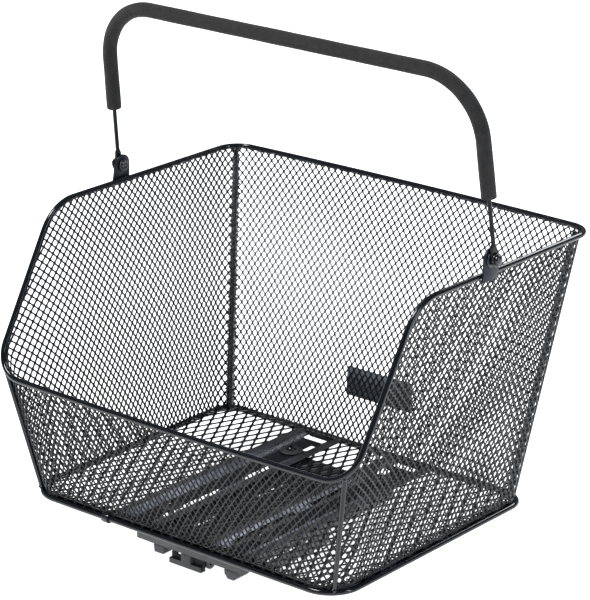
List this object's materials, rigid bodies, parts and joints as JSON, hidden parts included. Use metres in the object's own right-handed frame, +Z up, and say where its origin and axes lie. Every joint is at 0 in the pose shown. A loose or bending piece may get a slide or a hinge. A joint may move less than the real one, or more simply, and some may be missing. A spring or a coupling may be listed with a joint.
{
  "type": "bicycle rack basket",
  "caption": "Wire-framed expanded-metal rack basket with a low front, two screwed floor trays, a rack adapter underneath and a folding bail handle with a foam grip.",
  "frame": {"origin": "centre of the whole basket's footprint, on the plane its adapter hooks stand on, with the handle up", "axes": "+X to the right along the handle bar, +Y towards the tall back wall (the low front side is -Y), +Z up"},
  "size_m": [0.4452, 0.3492, 0.4627],
  "materials": {
    "black_wire": "gloss powder coat",
    "black_mesh": "satin powder coat",
    "tray_steel": "satin blue-black coat",
    "black_steel": "gloss black",
    "grey_plastic": "matte dark grey",
    "foam": "closed-cell foam, charcoal"
  },
  "bodies": {
    "basket": {"top_rim": "black_wire", "base_ring": "black_wire", "corner_rod_front_right": "black_wire", "corner_rod_front_left": "black_wire", "corner_rod_back_right": "black_wire", "corner_rod_back_left": "black_wire", "mesh_wall_front": "black_mesh", "mesh_wall_right": "black_mesh", "mesh_wall_back": "black_mesh", "mesh_wall_left": "black_mesh", "mesh_floor": "black_mesh", "floor_tray_left": "tray_steel", "floor_tray_right": "tray_steel", "tray_washer_left_back": "black_steel", "tray_washer_right_back": "black_steel", "tray_washer_left_front": "black_steel", "tray_washer_right_front": "black_steel", "tray_screw_left_back": "black_steel", "tray_screw_right_back": "black_steel", "tray_screw_left_front": "black_steel", "tray_screw_right_front": "black_steel", "adapter_plate": "grey_plastic", "adapter_fascia": "grey_plastic", "adapter_foot_left": "grey_plastic", "adapter_foot_right": "grey_plastic", "adapter_t_hook": "grey_plastic", "adapter_rear_hook": "grey_plastic", "ring_clip": "black_steel", "light_bracket": "black_steel", "handle_bracket_right": "black_steel", "handle_bracket_left": "black_steel", "pivot_washer_right": "black_steel", "pivot_washer_left": "black_steel", "pivot_screw_right": "black_steel", "pivot_screw_left": "black_steel", "pivot_nut_right": "black_steel", "pivot_nut_left": "black_steel", "adapter_claw": "black_steel", "adapter_skirt_right": "grey_plastic", "adapter_skirt_left": "grey_plastic", "pivot_spacer_right": "black_steel", "pivot_spacer_left": "black_steel"},
    "handle": {"handle_bail": "black_wire", "handle_grip": "foam"}
  },
  "joints": [
    {"name": "handle_fold", "type": "hinge", "parent": "basket", "child": "handle", "pos_m": [0, 0.01077, 0.2959], "axis": [1, 0, 0], "range_deg": [-98.2, 83.8]}
  ]
}
